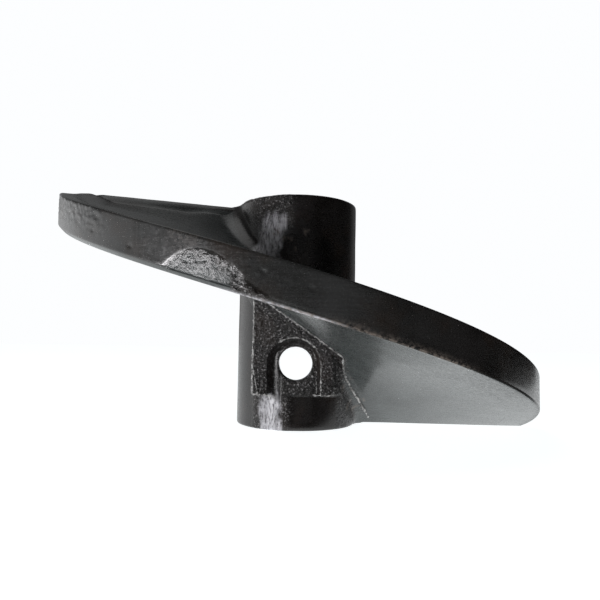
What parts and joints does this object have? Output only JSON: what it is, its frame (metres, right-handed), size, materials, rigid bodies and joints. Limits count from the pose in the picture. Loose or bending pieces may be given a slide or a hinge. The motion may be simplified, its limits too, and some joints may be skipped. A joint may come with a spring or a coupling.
{
  "type": "screw conveyor flight segment",
  "caption": "Left-hand half-turn screw flight cast on a half-shell hub with a bolt pad, for bolting to an auger shaft.",
  "frame": {"origin": "on the shaft axis at the middle of the hub's length", "axes": "+Z along the shaft axis towards the flight's upper end, -Y out through the bolt hole, +X towards the flight's lower end"},
  "size_m": [0.4, 0.2, 0.2055],
  "materials": {
    "cast_hub": "rough sand casting under gloss black paint",
    "cast_flight": "smooth casting under satin black paint",
    "wear_edge": "gloss black paint with runs, scuffed at the edges"
  },
  "bodies": {
    "root": {"hub_half_shell": "cast_hub", "bolt_pad": "cast_hub", "flight_web": "cast_flight", "wear_rim": "wear_edge", "upper_root_fillet": "cast_flight", "lower_root_fillet": "cast_hub", "end_border": "wear_edge"}
  },
  "joints": []
}
